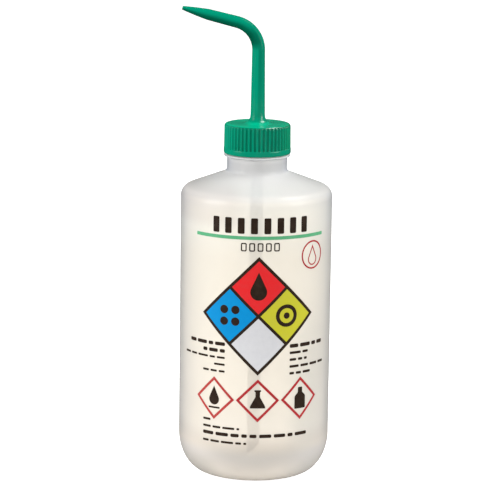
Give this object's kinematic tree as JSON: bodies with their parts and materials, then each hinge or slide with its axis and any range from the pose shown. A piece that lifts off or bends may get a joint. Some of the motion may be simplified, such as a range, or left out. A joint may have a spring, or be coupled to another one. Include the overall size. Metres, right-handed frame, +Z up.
{
  "type": "wash bottle",
  "caption": "Translucent squeeze bottle with a ribbed green screw closure, upright stem, bent tapered spout and a draw tube, for dispensing liquid at a lab bench.",
  "frame": {"origin": "centre of the standing ring, on the surface the bottle stands on", "axes": "+Z up the bottle axis, the printed face towards -Y, the spout towards -X when the closure is screwed down"},
  "size_m": [0.0753, 0.0751, 0.2324],
  "materials": {
    "bottle_plastic": "translucent natural polyethylene, soft satin",
    "closure_plastic": "semi-gloss moulded polypropylene, green",
    "tube_plastic": "translucent natural polyethylene, satin",
    "ink_black": "screen ink, satin",
    "ink_red": "screen ink, satin",
    "ink_blue": "screen ink, satin",
    "ink_yellow": "screen ink, satin",
    "ink_white": "screen ink, satin",
    "ink_green": "screen ink, satin"
  },
  "bodies": {
    "bottle": {"bottle": "bottle_plastic", "print_black": "ink_black", "print_red": "ink_red", "print_blue": "ink_blue", "print_yellow": "ink_yellow", "print_white": "ink_white", "print_green": "ink_green"},
    "draw_tube": {"draw_tube": "tube_plastic"},
    "closure": {"closure": "closure_plastic"}
  },
  "joints": [
    {"name": "closure_lift", "type": "slide", "parent": "bottle", "child": "draw_tube", "axis": [0, 0, 1], "range_m": [0, 0.00635]},
    {"name": "closure_turn", "type": "hinge", "parent": "draw_tube", "child": "closure", "pos_m": [0, 0, 0.17], "axis": [0, 0, 1], "range_deg": [0, 540]}
  ],
  "couplings": [
    {"joint": "closure_lift", "follows": "closure_turn", "m_per_rad": 0.00067322}
  ]
}
